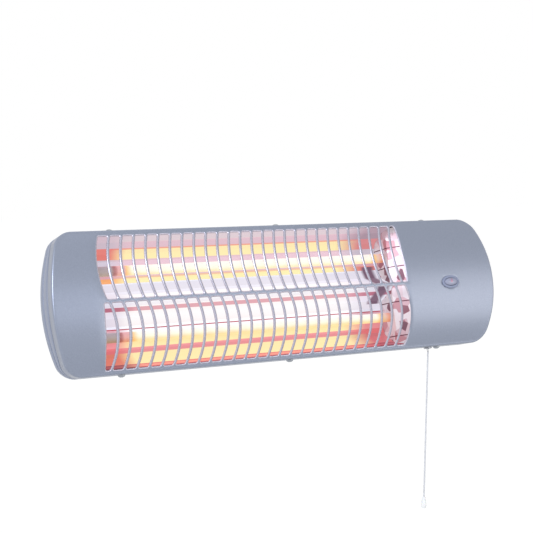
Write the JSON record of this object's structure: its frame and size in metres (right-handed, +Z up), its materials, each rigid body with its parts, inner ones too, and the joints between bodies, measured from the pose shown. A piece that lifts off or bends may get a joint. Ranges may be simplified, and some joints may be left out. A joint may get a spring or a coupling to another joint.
{
  "type": "electric bar heater",
  "caption": "Wall-mounted infrared bar heater: quartz tubes behind a slotted bulging cover, on a tilting bracket, with a pull-cord switch.",
  "frame": {"origin": "centre of the wall plate's back face, where it rests on the wall", "axes": "+X along the heater to the right as seen from the room, +Y into the wall, +Z up"},
  "size_m": [0.502, 0.1029, 0.3209],
  "materials": {
    "silver_paint": "satin metallic blue-grey paint",
    "silver_shell": "satin metallic blue-grey lacquer",
    "mirror_aluminium": "bright rolled aluminium",
    "quartz": "milky quartz, lit from inside",
    "heating_wire": "red-hot resistance wire",
    "ceramic": "unglazed white",
    "lamp_ring": "satin grey",
    "lamp_lens": "frosted clear, pinkish",
    "neon_glass": "clear glass with a red glow",
    "black_plastic": "fine texture",
    "white_plastic": "moulded satin",
    "zinc_steel": "zinc-plated",
    "plated_steel": "nickel-plated",
    "wire_sleeve": "woven glass-fibre sleeve",
    "cord": "braided white cord"
  },
  "bodies": {
    "bracket": {"wall_bracket": "zinc_steel"},
    "heater": {"front_cover": "silver_paint", "body_band": "silver_shell", "rear_housing": "silver_shell", "reflector": "mirror_aluminium", "reflector_end_left": "mirror_aluminium", "reflector_end_right": "mirror_aluminium", "quartz_tube_upper": "quartz", "quartz_tube_lower": "quartz", "heating_coil_upper": "heating_wire", "heating_coil_lower": "heating_wire", "ceramic_cap_upper_left": "ceramic", "ceramic_cap_upper_right": "ceramic", "ceramic_cap_lower_left": "ceramic", "ceramic_cap_lower_right": "ceramic", "lamp_bezel": "lamp_ring", "lamp_lens": "lamp_lens", "neon_lamp": "neon_glass", "switch_housing": "black_plastic", "switch_lid": "black_plastic", "switch_spring": "plated_steel", "cord_guide": "plated_steel", "cover_screw_top_1": "zinc_steel", "cover_screw_top_2": "zinc_steel", "cover_screw_top_3": "zinc_steel", "cover_screw_bottom_1": "zinc_steel", "cover_screw_bottom_2": "zinc_steel", "cover_screw_bottom_3": "zinc_steel", "hinge_lug_left": "zinc_steel", "hinge_lug_right": "zinc_steel", "lug_screw_left_top": "zinc_steel", "lug_screw_left_bottom": "zinc_steel", "lug_screw_right_top": "zinc_steel", "lug_screw_right_bottom": "zinc_steel", "pivot_bolt_left": "zinc_steel", "pivot_bolt_right": "zinc_steel", "cable_gland": "black_plastic", "gland_nut": "black_plastic", "terminal_block": "white_plastic", "terminal_screw_1": "plated_steel", "terminal_screw_2": "plated_steel", "terminal_screw_3": "plated_steel", "left_link_wire": "wire_sleeve", "upper_lead_wire": "wire_sleeve", "lower_lead_wire": "wire_sleeve"},
    "pull": {"switch_plunger": "white_plastic"},
    "rotor": {"switch_rotor": "white_plastic"},
    "cord": {"pull_cord": "cord", "cord_toggle": "white_plastic"},
    "knob_left": {"clamp_knob_left": "black_plastic"},
    "knob_right": {"clamp_knob_right": "black_plastic"}
  },
  "joints": [
    {"name": "tilt", "type": "hinge", "parent": "bracket", "child": "heater", "pos_m": [0, -0.016, 0], "axis": [1, 0, 0], "range_deg": [-5, 45]},
    {"name": "pull_travel", "type": "slide", "parent": "heater", "child": "pull", "axis": [0, -0.2656, -0.9641], "range_m": [0, 0.008], "stiffness_N_per_m": 150, "springref_m": -0.004, "deforming": ["switch_spring"]},
    {"name": "rotor_turn", "type": "hinge", "parent": "heater", "child": "rotor", "pos_m": [0.1706, -0.08066, -0.0216], "axis": [0, 0.2656, 0.9641], "range_deg": [0, 45]},
    {"name": "cord_swing", "type": "hinge", "parent": "pull", "child": "cord", "pos_m": [0.1706, -0.09017, -0.05612], "axis": [1, 0, 0], "range_deg": [-45, 5]},
    {"name": "knob_left_turn", "type": "hinge", "parent": "bracket", "child": "knob_left", "pos_m": [-0.081, -0.016, 0], "axis": [1, 0, 0], "continuous": true},
    {"name": "knob_right_turn", "type": "hinge", "parent": "bracket", "child": "knob_right", "pos_m": [0.081, -0.016, 0], "axis": [1, 0, 0], "continuous": true}
  ],
  "couplings": [
    {"joint": "rotor_turn", "follows": "pull_travel", "rad_per_m": 98.175},
    {"joint": "cord_swing", "follows": "tilt", "ratio": -1}
  ]
}
